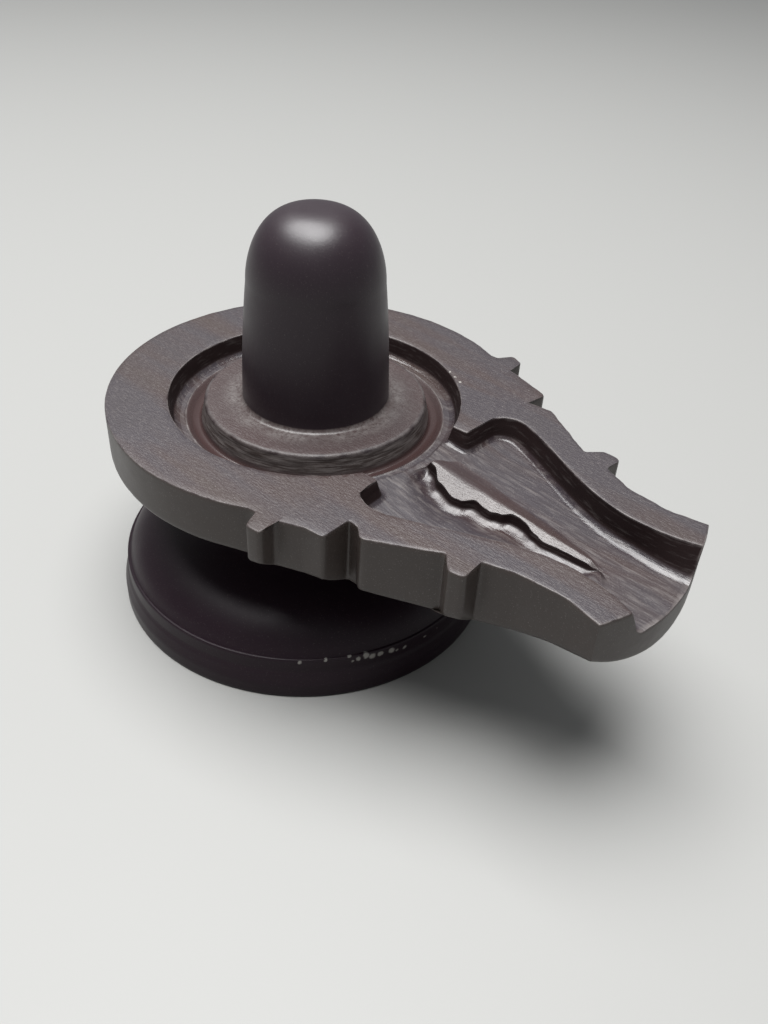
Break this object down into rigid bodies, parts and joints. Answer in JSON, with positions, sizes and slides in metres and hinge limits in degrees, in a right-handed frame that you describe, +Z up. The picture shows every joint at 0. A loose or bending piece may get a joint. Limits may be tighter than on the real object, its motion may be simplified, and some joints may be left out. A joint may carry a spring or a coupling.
{
  "type": "shiva lingam",
  "caption": "Shiva lingam in dark stone: a domed upright shaft in a ring-shaped pool on a flat plate with a carved spout, on a waisted round foot.",
  "frame": {"origin": "on the foot's flat underside, straight below the centre of the plate's round edge", "axes": "+Z up along the lingam, +X along the spout towards its end"},
  "size_m": [0.1495, 0.1013, 0.1007],
  "materials": {
    "stone": "satin, rubbed smooth on the shaft and foot, matt with fine scratches on the plate's top"
  },
  "bodies": {
    "root": {"shiva_lingam": "stone"}
  },
  "joints": []
}
